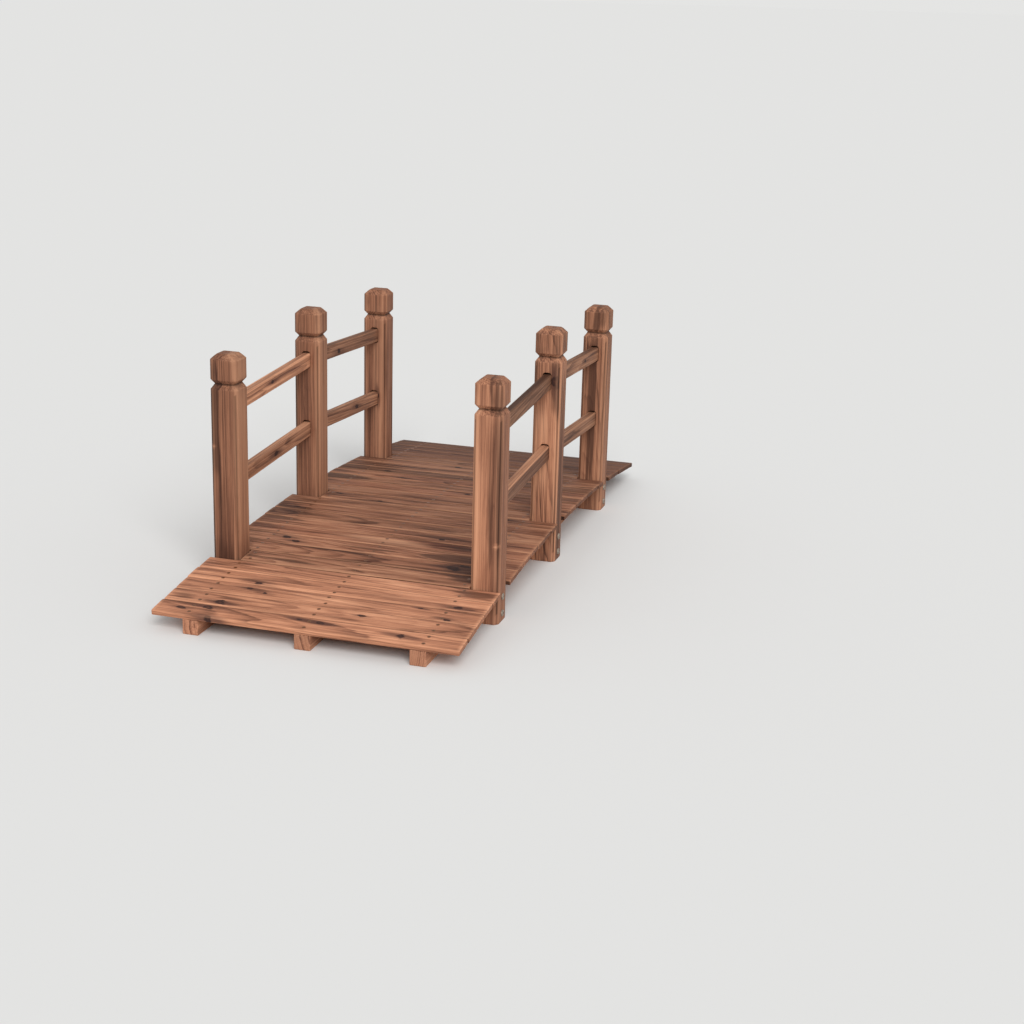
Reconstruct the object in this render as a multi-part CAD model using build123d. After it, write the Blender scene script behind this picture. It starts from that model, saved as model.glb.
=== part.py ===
from build123d import *
import os
from math import asin, atan2, cos, degrees, sin, sqrt

# Wooden garden footbridge with a shallow arched deck and a two-rail railing
# on each side. Millimetres, +Z up, +Y along the walk, +X to the right.
# The origin is on the ground under the middle of the bridge.

# Deck: one circular arc from end to end
overall_length = 1524.0
deck_crown_height = 98.0
deck_end_height = 45.0

# Deck boards, laid across the walk and past the posts on both sides
board_overhang = 7.0
board_width = 55.0
board_thickness = 12.0
board_edge_radius = 1.5
least_board_gap = 0.3
short_board_gap = 2.0

# Stringers, on edge under the boards
stringer_thickness = 35.0
stringer_end_setback = 2.0
board_seat_gap = 0.05

# Posts, three on each side
railing_width = 659.0
post_spacing = 453.0
post_section = 64.0
post_chamfer = 8.5
outer_neck_height = 464.5
railing_rise = 23.5
neck_depth = 8.5
neck_chamfer = 4.0
neck_lower_slope = 12.0
neck_upper_slope = 9.5
cap_block_height = 43.5
cap_bevel_height = 12.0
cap_bevel_inset = 12.5
cap_top_chamfer = 2.5

# Rails, loose tenons in mortises with round corners
rail_height = 34.0
rail_thickness = 20.0
rail_edge_radius = 3.0
upper_rail_height = 410.0
lower_rail_height = 241.5
mortise_depth = 25.0
mortise_corner_radius = 6.5
mortise_play_above = 4.0
mortise_play_below = 2.8

# Clearances
board_post_clearance = 0.3
mortise_side_clearance = 0.7
tenon_end_clearance = 1.5

# Derived sizes of the deck arc
half_length = overall_length / 2
deck_rise = deck_crown_height - deck_end_height
deck_radius = (half_length**2 + deck_rise**2) / (2 * deck_rise)
arc_centre_height = deck_crown_height - deck_radius
stringer_top_radius = deck_radius - board_thickness - board_seat_gap
board_length = railing_width + 2 * board_overhang

# Derived places of the posts
post_x = (railing_width - post_section) / 2
post_inner_face = railing_width / 2 - post_section
post_rows = {"front": -post_spacing, "mid": 0.0, "back": post_spacing}
sides = {"left": -1, "right": 1}
railing_slope = atan2(railing_rise, post_spacing)


def arc_length(y):
    """Length along the deck's arc from its crown to the place y."""
    return deck_radius * asin(y / deck_radius)


def rise_at(row):
    """How much higher the railing is at this row of posts than at the ends."""
    return railing_rise if row == "mid" else 0.0


def square_with_cut_corners(side, corner, height):
    """Level square outline, its four corners cut at 45 degrees."""
    outline = chamfer(Rectangle(side, side).vertices(), corner)
    return Plane.XY.offset(height) * outline


def post_blank(neck_height):
    """Square post: chamfered shaft, V-groove neck and bevelled cap."""
    neck_section = post_section - 2 * neck_depth
    cap_top_section = post_section - 2 * cap_bevel_inset
    cap_foot = neck_height + neck_upper_slope
    bevel_foot = cap_foot + cap_block_height
    sections = [
        square_with_cut_corners(post_section, post_chamfer, 0),
        square_with_cut_corners(post_section, post_chamfer, neck_height - neck_lower_slope),
        square_with_cut_corners(neck_section, neck_chamfer, neck_height),
        square_with_cut_corners(post_section, post_chamfer, cap_foot),
        square_with_cut_corners(post_section, post_chamfer, bevel_foot),
        square_with_cut_corners(cap_top_section, cap_top_chamfer, bevel_foot + cap_bevel_height),
    ]
    return loft(sections, ruled=True)


def mortise(rail_centre_height, facing):
    """Slot with round corners in the post face that looks towards facing (+1 or -1 in Y)."""
    slot_width = rail_thickness + 2 * mortise_side_clearance
    slot_height = rail_height + mortise_play_above + mortise_play_below
    slot_centre = rail_centre_height + (mortise_play_above - mortise_play_below) / 2
    face = Plane(
        origin=(0, facing * post_section / 2, slot_centre),
        x_dir=(0, 0, 1),
        z_dir=(0, facing, 0),
    )
    outline = face * RectangleRounded(slot_height, slot_width, mortise_corner_radius)
    return extrude(outline, -mortise_depth)


def rail_height_in_mortise(base_height, row):
    """Height of a rail's centre line half-way into the mortise of this row's post."""
    inset = post_section / 2 - mortise_depth / 2
    slope = railing_rise / post_spacing
    towards_middle = -slope if row == "mid" else slope
    return base_height + rise_at(row) + towards_middle * inset


def post(row):
    """One post with the mortises that its rails need."""
    solid = post_blank(outer_neck_height + rise_at(row))
    facings = {"front": [1], "mid": [-1, 1], "back": [-1]}[row]
    for facing in facings:
        for base_height in (lower_rail_height, upper_rail_height):
            solid -= mortise(rail_height_in_mortise(base_height, row), facing)
    return solid


def rail(base_height, bay):
    """One rail of a bay, sloping up to the middle post, tenoned at both ends."""
    tenon = mortise_depth - tenon_end_clearance
    clear_span = post_spacing - post_section
    rail_length = (clear_span + 2 * tenon) / cos(railing_slope)
    bar = Box(rail_thickness, rail_length, rail_height)
    bar = fillet(bar.edges().filter_by(Axis.Y), rail_edge_radius)
    direction = 1 if bay == "front" else -1
    centre = (0, -direction * post_spacing / 2, base_height + railing_rise / 2)
    return Pos(*centre) * Rot(degrees(railing_slope) * direction, 0, 0) * bar


def stringer():
    """Board on edge: flat foot, square ends and an arched top under the deck."""
    end = half_length - stringer_end_setback
    crown = arc_centre_height + stringer_top_radius
    end_top = arc_centre_height + sqrt(stringer_top_radius**2 - end**2)
    outline = Polyline((-end, end_top), (-end, 0), (end, 0), (end, end_top))
    outline += ThreePointArc((end, end_top), (0, crown), (-end, end_top))
    profile = Plane.YZ * make_face(outline)
    return extrude(profile, stringer_thickness / 2, both=True)


def board(length, width, place):
    """One deck board, lying on the arc with its middle at the arc length place."""
    blank = Box(length, width, board_thickness)
    blank = fillet(blank.edges().group_by(Axis.Z)[-1], board_edge_radius)
    angle = place / deck_radius
    middle = deck_radius - board_thickness / 2
    centre = (0, middle * sin(angle), arc_centre_height + middle * cos(angle))
    return Pos(*centre) * Rot(-degrees(angle), 0, 0) * blank


def spread_boards(start, end):
    """Arc lengths of the boards that fill the stretch from start to end evenly."""
    stretch = end - start
    count = max(1, int((stretch + least_board_gap) // (board_width + least_board_gap)))
    gap = (stretch - count * board_width) / max(1, count - 1)
    first = start + board_width / 2
    return [first + index * (board_width + gap) for index in range(count)]


def gap_at_post_face(y, uphill):
    """Gap along the arc from the post face at y to the board beside it.

    A board that climbs towards the post leans into it by its own thickness.
    """
    lean = board_thickness * y / deck_radius if uphill else 0.0
    return board_post_clearance + lean


def deck_places():
    """Board places from front to back as (arc length, lies between two posts)."""
    outer_face = post_spacing + post_section / 2
    inner_face = post_spacing - post_section / 2
    mid_face = post_section / 2
    ramp_start = arc_length(outer_face) + gap_at_post_face(outer_face, uphill=True)
    bay_start = arc_length(mid_face) + gap_at_post_face(mid_face, uphill=True)
    bay_end = arc_length(inner_face) - gap_at_post_face(inner_face, uphill=False)
    ramp = spread_boards(ramp_start, arc_length(half_length))
    bay = spread_boards(bay_start, bay_end)
    half = [(place, False) for place in bay]
    half += [(arc_length(post_spacing), True)]
    half += [(place, False) for place in ramp]
    front = [(-place, short) for place, short in reversed(half)]
    return front + [(0.0, True)] + half


def deck_boards():
    """All deck boards by name, numbered from the front end."""
    short_length = 2 * (post_inner_face - board_post_clearance)
    short_width = post_section - 2 * short_board_gap
    boards = {}
    for number, (place, short) in enumerate(deck_places(), start=1):
        length = short_length if short else board_length
        width = short_width if short else board_width
        boards[f"deck_board_{number:02d}"] = board(length, width, place)
    return boards


def posts():
    """The six posts by name."""
    return {
        f"post_{row}_{side}": Pos(sign * post_x, y, 0) * post(row)
        for row, y in post_rows.items()
        for side, sign in sides.items()
    }


def rails():
    """The eight rails by name."""
    levels = {"lower": lower_rail_height, "upper": upper_rail_height}
    return {
        f"{level}_rail_{bay}_{side}": Pos(sign * post_x, 0, 0) * rail(base_height, bay)
        for level, base_height in levels.items()
        for bay in ("front", "back")
        for side, sign in sides.items()
    }


def stringers():
    """The three stringers by name; the outer two lie against the posts."""
    outer_x = post_inner_face - stringer_thickness / 2
    places = {"left": -outer_x, "middle": 0.0, "right": outer_x}
    return {f"stringer_{name}": Pos(x, 0, 0) * stringer() for name, x in places.items()}


pieces = {**posts(), **rails(), **stringers(), **deck_boards()}

os.makedirs("parts", exist_ok=True)
for name, solid in pieces.items():
    export_step(solid, f"parts/{name}.step")
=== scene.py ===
"""Looks of the wooden garden footbridge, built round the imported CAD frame. Metres, +Z up."""

import math

import bmesh
import bpy
import numpy as np
from mathutils import Matrix, Vector


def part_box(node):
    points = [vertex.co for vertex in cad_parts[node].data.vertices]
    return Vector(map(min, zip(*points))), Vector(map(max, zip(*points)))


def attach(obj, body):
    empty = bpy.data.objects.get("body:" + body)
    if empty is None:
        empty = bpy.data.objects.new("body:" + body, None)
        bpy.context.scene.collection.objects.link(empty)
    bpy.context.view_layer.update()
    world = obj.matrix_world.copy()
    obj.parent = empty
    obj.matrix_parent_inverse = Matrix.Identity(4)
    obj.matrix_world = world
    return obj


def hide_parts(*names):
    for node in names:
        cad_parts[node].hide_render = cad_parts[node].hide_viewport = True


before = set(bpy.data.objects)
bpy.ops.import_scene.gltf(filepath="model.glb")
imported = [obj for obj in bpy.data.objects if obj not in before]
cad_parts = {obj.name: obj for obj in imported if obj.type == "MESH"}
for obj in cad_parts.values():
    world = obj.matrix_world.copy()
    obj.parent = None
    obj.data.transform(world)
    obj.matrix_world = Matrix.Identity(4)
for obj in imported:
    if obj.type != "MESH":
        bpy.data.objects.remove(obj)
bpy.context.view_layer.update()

MM = 0.001

# Camera, solved from the photograph: focal length in pixels of a 1024 px wide image
IMAGE_SIZE = 1024
FOCAL_PX = 1738.416
CAMERA_AZIMUTH = 16.1676
CAMERA_ELEVATION = 16.75933
CAMERA_ROLL = 1.59037
CAMERA_TARGET = Vector((0.36287, -0.51349, 0.2636))
CAMERA_DISTANCE = 3.56829

# Deck boards
BOARD_COUNT = 27
SHORT_BOARDS = (6, 14, 22)
FRONT_RAMP_BOARDS = 5
BACK_RAMP_FIRST = 23

# Posts, with the CAD posts' section and profile
POST_CHAMFER = 8.5 * MM
CAP_BEVEL_HEIGHT = 12.0 * MM
CAP_BEVEL_INSET = 12.5 * MM
CAP_TOP_CHAMFER = 2.5 * MM
CAP_BLOCK_HEIGHT = 43.5 * MM
NECK_UPPER_SLOPE = 9.5 * MM
NECK_LOWER_SLOPE = 12.0 * MM
NECK_DEPTH = 8.5 * MM
NECK_CHAMFER = 4.0 * MM

# Mesh of the posts: points across a flat and a chamfer, and how far the outermost stand off
# the corner, as a length and at most as a share of the side
POST_FLAT_STEPS = 14
POST_CHAMFER_STEPS = 3
POST_EASE = 1.2 * MM
POST_EASE_SHARE = 0.3

# Mortises, round the CAD rails
MORTISE_SIDE = 0.7 * MM
MORTISE_ABOVE = 4.0 * MM
MORTISE_BELOW = 2.8 * MM
MORTISE_DEPTH = 25.0 * MM
MORTISE_CORNER = 6.5 * MM
MORTISE_FLARE = 0.4 * MM

# Steps of the rounded ends, depth of the end grain, and the angle from which an edge is sharp
END_STEPS = 4
END_GRAIN = 0.3 * MM
SHARP_ANGLE = 50.0

# Stringers and screws: the outer screws stand outside the stringer's middle line
STRINGER_RADIUS = 1.6 * MM
STRINGER_LINE = 248.0 * MM
SCREW_OUTSET = 9.0 * MM
SCREW_HEAD = 8.0 * MM
SCREW_DEPTH = 0.6 * MM

# Bolts through the posts, with a washer, a nut and a thread end on the inside
BOLT_HEIGHTS = (18.5 * MM, 55.5 * MM)
BOLT_HEAD = 15.0 * MM
BOLT_RIM = 0.8 * MM
BOLT_DOME = 3.4 * MM
SOCKET_RADIUS = 2.9 * MM
SOCKET_DEPTH = 2.0 * MM
WASHER_DIAMETER = 16.0 * MM
WASHER_THICKNESS = 1.6 * MM
NUT_RADIUS = 5.8 * MM
NUT_HEIGHT = 5.7 * MM
THREAD_END = 5.0 * MM
THREAD_RADIUS = 3.0 * MM

# Worn edges and pale streaks, also painted highlights and painted light, as a 0-255 display colour
PALE_WOOD = (238, 176, 138)

# Studio
ROOM_LIGHT = 0.55
KEY_LIGHT = 2.1
KEY_SPREAD = 35.0
KEY_AZIMUTH = 28.0
KEY_ELEVATION = 38.0
FLOOR_REACH = 200.0
FLOOR_COLOUR = (0.8, 0.8, 0.79)
BACKDROP_COLOUR = (0.78, 0.78, 0.77)


# Repeatable noise

def lattice(cell, seed):
    """A fixed random value from -1 to 1 for each whole-number cell (n, 3)."""
    mask = 0xFFFFFFFF
    value = cell[:, 0] * 374761393 + cell[:, 1] * 668265263 + cell[:, 2] * 1440662683
    value = (value + seed * 1274126177) & mask
    value = ((value ^ (value >> 13)) * 1274126177) & mask
    value = ((value ^ (value >> 16)) * 2246822519) & mask
    return (value ^ (value >> 15)) / 0x7FFFFFFF - 1.0


def noise(points, cells_per_metre, seed):
    """Smooth noise from -1 to 1 at points (n, 3)."""
    place = points * np.asarray(cells_per_metre, float)
    cell = np.floor(place).astype(np.int64)
    part = place - cell
    part = part * part * (3 - 2 * part)
    total = np.zeros(len(points))
    for corner in np.ndindex(2, 2, 2):
        weight = np.prod(np.where(corner, part, 1 - part), axis=1)
        total += weight * lattice(cell + np.array(corner), seed)
    return total


def smooth_step(low, high, value):
    """0 below low, 1 above high, and a smooth rise between."""
    part = np.clip((value - low) / (high - low), 0, 1)
    return part * part * (3 - 2 * part)


def bell(value, centre, reach):
    """1 at centre, fading to 0 past reach."""
    return np.exp(-(((value - centre) / reach) ** 2))


# Wood growth: what the grain of one piece looks like at any point of it

class Growth:
    """Rings, knots and tone of one piece, in its own axes: along the grain, across, up.

    Lengths are given in mm. A knot is (along, across, radius) and shows below knot_end.
    """

    def __init__(self, seed, pith, ring, wander, tone, lean=0.0, red=0.0, figure=1.0, knots=(),
                 knot_end=1000):
        self.seed = seed
        self.pith = np.array(pith) * MM
        self.ring = ring * MM
        self.wander = wander * MM
        self.lean = lean
        self.look = (tone, red, figure)
        self.knots = np.array(knots).reshape(-1, 3) * MM
        self.knot_end = knot_end * MM
        self.shift = np.random.default_rng(seed).uniform(-5, 5, 3)

    def knot_distance(self, points):
        """Distance to the nearest knot and to its halo in knot radii, and its push on the grain."""
        nearest = np.full(len(points), 4.0)
        halo = np.full(len(points), 4.0)
        push = np.zeros(len(points))
        if len(self.knots):
            uneven = 1 + 0.5 * noise(points + self.shift, (55, 110, 110), self.seed + 7)
            beyond = 4 * smooth_step(self.knot_end, self.knot_end + 8 * MM, points[:, 2])
        for along, across, radius in self.knots:
            du = (points[:, 0] - along) / 1.6
            dv = points[:, 1] - across + 0.12 * du
            squared = (du * du + dv * dv) / radius**2
            nearest = np.minimum(nearest, np.sqrt(squared) * uneven + beyond)
            squared = ((du / 2.4) ** 2 + (dv / 0.8) ** 2) / radius**2
            halo = np.minimum(halo, np.sqrt(squared) + beyond)
            push -= 1.2 * dv / (squared + 0.5)
        return nearest, halo, push

    def rings(self, points):
        """Ring number at each point, which the shader turns into lines, and the knot distances."""
        nearest, halo, push = self.knot_distance(points)
        local = points + self.shift
        drift = noise(local, (3.5, 9, 9), self.seed) + 0.4 * noise(local, (12, 28, 28), self.seed + 1)
        bend = 0.6 * self.wander * noise(local, (1.7, 0, 0), self.seed + 2)
        across = points[:, 1] + push - self.pith[0] + bend
        deep = points[:, 2] - self.pith[1] + self.lean * points[:, 0]
        number = (np.hypot(across, deep) + 0.5 * self.wander * drift) / self.ring
        row = np.column_stack([number, np.full((len(points), 2), self.seed + 0.5)])
        return number + 0.55 * noise(row, (0.37, 1, 1), self.seed + 4), nearest, halo

    def relief(self, points):
        """How far the weathered surface stands below its true face, never above it."""
        rings, nearest, _ = self.rings(points)
        part = rings - np.floor(rings)
        ridge = np.minimum(part, 3 * (1 - part)) / 0.75
        hollow = 0.5 + 0.5 * noise(points + self.shift, (9, 40, 40), self.seed + 3)
        proud = smooth_step(1.6, 0.7, nearest)
        return -(0.14 * (1 - ridge) + 0.3 * hollow) * MM * (1 - proud)


# Meshes

def rounded_outline(width, low, high, top_radius, foot_radius, step, arc_steps=3):
    """Closed outline (n, 2) of a box section, its corners round and its sides divided."""
    half = width / 2
    corners = (
        (half - top_radius, high - top_radius, top_radius, 0.0),
        (-half + top_radius, high - top_radius, top_radius, 90.0),
        (-half + foot_radius, low + foot_radius, foot_radius, 180.0),
        (half - foot_radius, low + foot_radius, foot_radius, 270.0),
    )
    points = []
    for x, y, radius, first in corners:
        arc = []
        for index in range(arc_steps + 1):
            angle = math.radians(first + 90.0 * index / arc_steps)
            arc.append((x + radius * math.cos(angle), y + radius * math.sin(angle)))
        if points:
            points += between(points[-1], arc[0], step)
        points += arc
    points += between(points[-1], points[0], step)
    return np.array(points)


def between(start, end, step):
    """Points that divide the line from start to end, its ends left out."""
    start, end = np.array(start), np.array(end)
    count = max(1, round(math.dist(start, end) / step))
    return [start + (end - start) * index / count for index in range(1, count)]


def octagon(section, chamfer):
    """Outline (n, 2) of a square with cut corners, with points close to each of its 8 corners."""
    half = section / 2
    corner = half - chamfer
    corners = np.array([
        (half, -corner), (half, corner), (corner, half), (-corner, half),
        (-half, corner), (-half, -corner), (-corner, -half), (corner, -half),
    ])
    points = []
    for index, start in enumerate(corners):
        end = corners[(index + 1) % 8]
        steps = POST_CHAMFER_STEPS if index % 2 else POST_FLAT_STEPS
        margin = min(POST_EASE / math.dist(start, end), POST_EASE_SHARE)
        points += [start + (end - start) * share for share in np.linspace(margin, 1 - margin, steps)]
    return np.array(points)


def end_loops(outline, place, inward, along, corner, inner=(0.72, 0.42, 0.14)):
    """Loops that round a piece's end and close in on its middle.

    inward is +1 or -1 along the grain, along is how far the rounding reaches back, and
    corner is how far it narrows the outline in each direction.
    """
    middle = (outline.min(0) + outline.max(0)) / 2
    reach = (outline.max(0) - outline.min(0)) / 2
    loops = []
    for index in range(END_STEPS + 1):
        angle = math.pi / 2 * index / END_STEPS
        inset = np.array(corner) * (1 - math.cos(angle))
        scaled = middle + (outline - middle) * (1 - inset / reach)
        loops.append((place + inward * along * (1 - math.sin(angle)), scaled))
    last = loops[-1][1]
    for share in inner:
        loops.append((place, middle + (last - middle) * share))
    return loops[::-1]


def circle(sides, radius, turn=0.0):
    """Points (n, 2) round the origin, the first one turned by this share of a side."""
    angles = 2 * math.pi * (np.arange(sides) + turn) / sides
    return radius * np.column_stack([np.cos(angles), np.sin(angles)])


def mesh_of(name, *bodies):
    """Mesh of closed bodies. Each is a list of loops of points: walls join them, faces close them."""
    work = bmesh.new()
    for loops in bodies:
        rings = [[work.verts.new(point) for point in loop] for loop in loops]
        for low, high in zip(rings, rings[1:]):
            for index in range(len(low)):
                after = (index + 1) % len(low)
                work.faces.new((low[index], low[after], high[after], high[index]))
        work.faces.new(rings[0][::-1])
        work.faces.new(rings[-1])
    bmesh.ops.recalc_face_normals(work, faces=work.faces)
    mesh = bpy.data.meshes.new(name)
    work.to_mesh(mesh)
    work.free()
    return mesh


def loops_to_mesh(name, loops):
    """Mesh through loops of (place along the grain, outline)."""
    return mesh_of(name, [[(place, *point) for point in outline.tolist()] for place, outline in loops])


def vectors_of(items, key="co"):
    """Places or normals of a mesh's vertices as (n, 3)."""
    flat = np.empty(len(items) * 3)
    items.foreach_get(key, flat)
    return flat.reshape(-1, 3)


def move(mesh, points):
    """Moves the mesh's vertices to points (n, 3)."""
    mesh.vertices.foreach_set("co", points.ravel())
    mesh.update()


def weather(mesh, growth, strength=1.0):
    """Presses the growth's relief into the mesh along its vertex normals."""
    points = vectors_of(mesh.vertices)
    depth = growth.relief(points) * strength
    move(mesh, points + vectors_of(mesh.vertex_normals, "vector") * depth[:, None])


def store(mesh, name, values):
    """Writes one value or vector a vertex to a named attribute."""
    kind, key = ("FLOAT_VECTOR", "vector") if np.ndim(values) == 2 else ("FLOAT", "value")
    attribute = mesh.attributes.new(name, kind, "POINT")
    attribute.data.foreach_set(key, np.ascontiguousarray(values, np.float32).ravel())


def nothing(points):
    """No stain and no painted shade."""
    return np.zeros(len(points))


def paint(mesh, growth, wear_and_highlight, cut_at, stain=nothing, dirt=nothing):
    """Stores what the wood shader reads at each vertex.

    The wear (with a painted highlight on the deck boards' front edges), the stain (with painted shade
    and light on the rails and beside the post feet) and the painted shade of joints and hollows are
    functions of the points, and cut_at gives the two places along the grain where the end grain begins.
    """
    points = vectors_of(mesh.vertices)
    rings, nearest, halo = growth.rings(points)
    ends = (points[:, 0] < cut_at[0]) | (points[:, 0] > cut_at[1])
    layers = {
        "grain": points + growth.shift, "rings": rings, "knot": nearest, "halo": halo,
        "edge": wear_and_highlight(points), "cut": ends, "stain": np.clip(stain(points), -1, 1),
        "dirt": np.clip(dirt(points), 0, 1), "tone": np.tile(growth.look, (len(points), 1)),
    }
    for name, values in layers.items():
        store(mesh, name, values)


def add_object(name, data):
    """Puts data into the scene as an object."""
    item = bpy.data.objects.new(name, data)
    bpy.context.scene.collection.objects.link(item)
    return item


def worn_edges(width, low, high):
    """1 on the long edges of a box section, fading within a few millimetres."""
    def wear_and_highlight(points):
        across = width / 2 - np.abs(points[:, 1])
        up = np.minimum(points[:, 2] - low, high - points[:, 2])
        return np.exp(-np.hypot(across, up) / (2.0 * MM))
    return wear_and_highlight


def show(mesh, name, place, slot, *nodes):
    """Turns a finished mesh into a piece that stands for the CAD nodes."""
    mesh.transform(place)
    mesh.shade_smooth()
    mesh.set_sharp_from_angle(angle=math.radians(SHARP_ANGLE))
    mesh.materials.append(MATERIALS[slot])
    piece = add_object(name, mesh)
    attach(piece, "root")
    if nodes:
        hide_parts(*nodes)


def lie_of(node, along, up):
    """Matrix from a straight CAD piece's own axes (along, across, up) to the world, and its size."""
    points = vectors_of(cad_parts[node].data.vertices)
    axes = np.linalg.eigh(np.cov((points - points.mean(0)).T))[1].T
    grain = max(axes, key=lambda axis: abs(axis @ along))
    rise = max(axes, key=lambda axis: abs(axis @ up))
    grain = grain * np.sign(grain @ along)
    rise = rise * np.sign(rise @ up)
    across = np.cross(rise, grain)
    basis = np.stack([grain, across, rise])
    local = points @ basis.T
    low, high = local.min(0), local.max(0)
    centre = (low + high) / 2 @ basis
    place = Matrix(basis.T.tolist()).to_4x4()
    place.translation = Vector(centre)
    return place, high - low


# Materials

class Graph:
    """Short way to write the nodes of a material or world. Colours are 0-255 display values."""

    def __init__(self, owner):
        owner.use_nodes = True
        self.owner = owner
        self.nodes = owner.node_tree.nodes
        self.links = owner.node_tree.links

    def put(self, socket, value):
        """Links an output or sets a constant on a socket."""
        if isinstance(value, bpy.types.NodeSocket):
            self.links.new(value, socket)
        else:
            socket.default_value = value

    def node(self, kind, sockets, output=0, **settings):
        """Adds a node with these settings and inputs, and gives one of its outputs."""
        node = self.nodes.new(kind)
        for key, value in settings.items():
            setattr(node, key, value)
        for key, value in sockets.items():
            self.put(node.inputs[key], value)
        return node.outputs[output]

    def surface(self, sockets):
        """Fills the material's own shader and gives the material."""
        for key, value in sockets.items():
            self.put(self.nodes["Principled BSDF"].inputs[key], value)
        return self.owner

    def attribute(self, name, output="Fac"):
        return self.node("ShaderNodeAttribute", {}, output, attribute_name=name)

    def math(self, operation, first, second=0.0, clamp=False):
        return self.node("ShaderNodeMath", {0: first, 1: second}, operation=operation, use_clamp=clamp)

    def total(self, first, *others):
        for other in others:
            first = self.math("ADD", first, other)
        return first

    def product(self, first, *others):
        for other in others:
            first = self.math("MULTIPLY", first, other)
        return first

    def centred(self, value, reach):
        """A 0-1 noise moved to -reach/2..reach/2."""
        return self.product(self.math("SUBTRACT", value, 0.5), reach)

    def noise(self, vector, scale, detail=3.0, rough=0.5, distort=0.0):
        """Noise with scale cells a metre in each direction."""
        place = self.node("ShaderNodeVectorMath", {0: vector, 1: scale}, operation="MULTIPLY")
        return self.node("ShaderNodeTexNoise", {
            "Vector": place, "Scale": 1.0, "Detail": detail, "Roughness": rough, "Distortion": distort,
        }, "Fac")

    def spread(self, value, low, high, to_low=0.0, to_high=1.0):
        """Maps low..high to to_low..to_high, smoothly and clamped."""
        return self.node("ShaderNodeMapRange", {
            "Value": value, "From Min": low, "From Max": high, "To Min": to_low, "To Max": to_high,
        }, "Result", interpolation_type="SMOOTHSTEP")

    def ramp(self, value, stops):
        output = self.node("ShaderNodeValToRGB", {"Fac": value})
        elements = output.node.color_ramp.elements
        while len(elements) < len(stops):
            elements.new(0.5)
        for element, (place, colour) in zip(elements, stops):
            element.position = place
            element.color = linear(colour)
        return output

    def mix(self, factor, first, second):
        ends = [linear(end) if isinstance(end, tuple) else end for end in (first, second)]
        return self.node("ShaderNodeMix", {0: factor, 6: ends[0], 7: ends[1]}, 2, data_type="RGBA")

    def bump(self, height, strength, distance):
        return self.node("ShaderNodeBump", {
            "Height": height, "Strength": strength, "Distance": distance,
        }, "Normal")


def linear(colour):
    """Opaque scene colour from 0-255 display values, each above 10."""
    return (*(((value / 255 + 0.055) / 1.055) ** 2.4 for value in colour), 1.0)


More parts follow.
